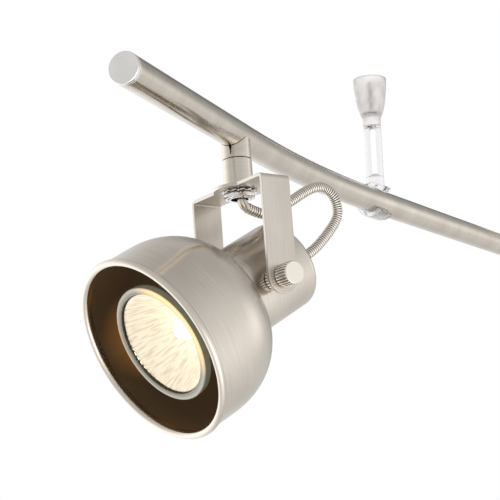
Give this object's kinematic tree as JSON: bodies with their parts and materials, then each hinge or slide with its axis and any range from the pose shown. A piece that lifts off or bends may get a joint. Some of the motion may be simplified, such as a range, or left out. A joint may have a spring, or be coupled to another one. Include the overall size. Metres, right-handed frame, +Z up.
{
  "type": "track lighting fixture",
  "caption": "Ceiling rail light: a bent tube rail on a canopy and a clear support, with a swivelling, tilting bell-shaped reflector lamp head.",
  "frame": {"origin": "centre of the mounting strap's flat top face, on the ceiling, above the rail", "axes": "+Z up through the ceiling face; +X along the rail's straight end section, from the lamp head towards the canopy"},
  "size_m": [0.6323, 0.1851, 0.1973],
  "materials": {
    "satin_nickel": "satin nickel plate, brushed",
    "polished_nickel": "polished",
    "clear_plastic": "clear moulded",
    "lamp_mirror": "facetted dichroic reflector",
    "lamp_glass": "clear",
    "lamp_capsule": "lit halogen capsule",
    "lamp_ceramic": "unglazed",
    "lead_plastic": "insulation"
  },
  "bodies": {
    "rail": {"rail_tube": "satin_nickel", "rail_lead": "lead_plastic", "end_cap_near": "polished_nickel", "end_cap_far": "polished_nickel", "head_saddle": "satin_nickel", "support_cup": "clear_plastic", "support_screw": "polished_nickel", "support_hook": "clear_plastic", "canopy_shell": "satin_nickel", "mounting_strap": "polished_nickel", "feed_nipple": "polished_nickel", "canopy_collar": "satin_nickel", "feed_stem": "satin_nickel", "feed_saddle": "satin_nickel", "strap_nut": "polished_nickel"},
    "swivel": {"stem_sleeve": "satin_nickel", "swivel_nipple": "polished_nickel", "yoke": "satin_nickel", "lock_washer": "polished_nickel", "nipple_nut": "polished_nickel", "conduit_ferrule": "polished_nickel", "flex_conduit": "satin_nickel"},
    "head": {"barrel": "satin_nickel", "rear_cover": "satin_nickel", "shade": "satin_nickel", "lamp_socket": "lamp_ceramic", "socket_bracket": "polished_nickel", "spacer_near": "satin_nickel", "spacer_far": "satin_nickel"},
    "lamp": {"lamp_reflector": "lamp_mirror", "lamp_cover_glass": "lamp_glass", "lamp_capsule": "lamp_capsule", "lamp_base": "lamp_ceramic", "lamp_pin_a": "polished_nickel", "lamp_pin_b": "polished_nickel"},
    "knob_near": {"knob_near": "satin_nickel"},
    "knob_far": {"knob_far": "satin_nickel"}
  },
  "joints": [
    {"name": "head_pan", "type": "hinge", "parent": "rail", "child": "swivel", "pos_m": [-0.47411, 0.07, -0.0915], "axis": [0, 0, 1], "range_deg": [-170, 170]},
    {"name": "head_tilt", "type": "hinge", "parent": "swivel", "child": "head", "pos_m": [-0.47411, 0.07, -0.1349], "axis": [-0.5255, -0.8508, 0], "range_deg": [-49, 60], "deforming": ["flex_conduit"]},
    {"name": "lamp_twist", "type": "hinge", "parent": "head", "child": "lamp", "pos_m": [-0.47411, 0.07, -0.1349], "axis": [-0.7412, 0.4578, -0.4909], "range_deg": [0, 20]},
    {"name": "knob_near_turn", "type": "hinge", "parent": "head", "child": "knob_near", "pos_m": [-0.47411, 0.07, -0.1349], "axis": [-0.5255, -0.8508, 0], "range_deg": [0, 360]},
    {"name": "knob_far_turn", "type": "hinge", "parent": "head", "child": "knob_far", "pos_m": [-0.47411, 0.07, -0.1349], "axis": [0.5255, 0.8508, 0], "range_deg": [0, 360]}
  ]
}
